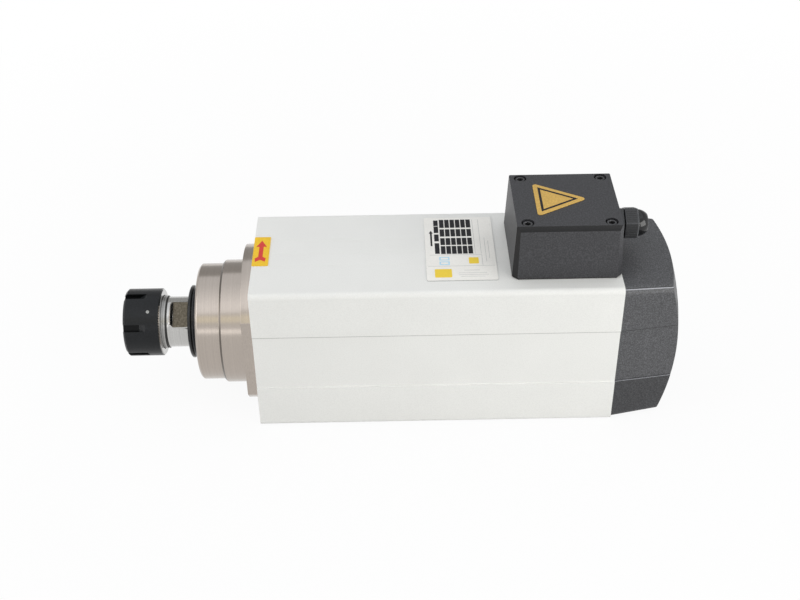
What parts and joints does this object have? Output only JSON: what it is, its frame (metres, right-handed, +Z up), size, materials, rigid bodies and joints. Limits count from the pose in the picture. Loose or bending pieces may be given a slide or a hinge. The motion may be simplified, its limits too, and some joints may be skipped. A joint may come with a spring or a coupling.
{
  "type": "motor spindle",
  "caption": "Square air-cooled motor spindle with a stepped steel nose, collet nut, slotted domed fan cover and a terminal box with a cable gland on top.",
  "frame": {"origin": "centre of the lower mounting face, midway along the housing", "axes": "+Z up from the mounting face to the terminal box, spindle axis along X with the collet nose towards -X, +X at the fan cover"},
  "size_m": [0.4057, 0.102, 0.1625],
  "materials": {
    "anodised_housing": "satin near-white anodised extrusion",
    "nose_steel": "turned steel, fine lathe marks",
    "screw_steel": "zinc-plated steel",
    "cover_ring_steel": "turned steel",
    "bearing_steel": "ground bearing steel",
    "shaft_steel": "ground bright steel",
    "slinger_black": "blackened ring, semi-gloss",
    "laminations": "stacked electrical steel",
    "cast_aluminium": "cast aluminium, matt",
    "copper_windings": "varnished copper wire",
    "collet_steel": "ground spring steel",
    "nut_black_oxide": "black oxide steel, semi-gloss",
    "plug_steel": "bright steel",
    "fan_plastic": "moulded black plastic",
    "cover_plastic": "dark grey speckled powder coat",
    "screw_black": "black oxide screws",
    "box_plastic": "black textured moulding",
    "gasket_rubber": "rubber gasket",
    "block_plastic": "moulded insulating plastic",
    "terminal_brass": "plain brass",
    "gland_plastic": "black nylon",
    "gland_gloss": "glossy black nylon",
    "plate_offwhite": "blank off-white plate",
    "plate_yellow": "yellow-orange plate",
    "badge_gold": "gold-coloured plate"
  },
  "bodies": {
    "housing": {"body_housing": "anodised_housing", "front_flange": "nose_steel", "flange_screws": "screw_steel", "front_bearing_cover": "cover_ring_steel", "bearing_outer_rings": "bearing_steel", "stator_core": "laminations", "stator_windings": "copper_windings", "rear_shield": "cast_aluminium", "fan_cover": "cover_plastic", "cover_screws": "screw_black", "terminal_box_cover": "box_plastic", "box_gasket": "gasket_rubber", "box_screws": "screw_black", "terminal_block": "block_plastic", "terminal_studs": "terminal_brass", "gland_body": "gland_plastic", "gland_nut": "gland_gloss", "gland_locknut": "gland_plastic", "nameplate": "plate_offwhite", "arrow_plate": "plate_yellow", "lid_badge": "badge_gold"},
    "spindle": {"spindle_shaft": "shaft_steel", "slinger_ring": "slinger_black", "bearing_inner_rings": "bearing_steel", "bearing_locknut": "screw_steel", "rotor_core": "laminations", "rotor_end_rings": "cast_aluminium", "cooling_fan": "fan_plastic", "fan_nut": "screw_steel"},
    "collet": {"er_collet": "collet_steel"},
    "nut": {"collet_nut": "nut_black_oxide", "nut_plug": "plug_steel", "extraction_ring": "collet_steel"}
  },
  "joints": [
    {"name": "spindle_spin", "type": "hinge", "parent": "housing", "child": "spindle", "pos_m": [0, 0, 0.06], "axis": [-1, 0, 0], "continuous": true},
    {"name": "collet_draw", "type": "slide", "parent": "spindle", "child": "collet", "axis": [-1, 0, 0], "range_m": [0, 0.0091]},
    {"name": "nut_turn", "type": "hinge", "parent": "collet", "child": "nut", "pos_m": [0, 0, 0.06], "axis": [-1, 0, 0], "range_deg": [0, 2160]}
  ],
  "couplings": [
    {"joint": "collet_draw", "follows": "nut_turn", "m_per_rad": 0.00023873}
  ]
}
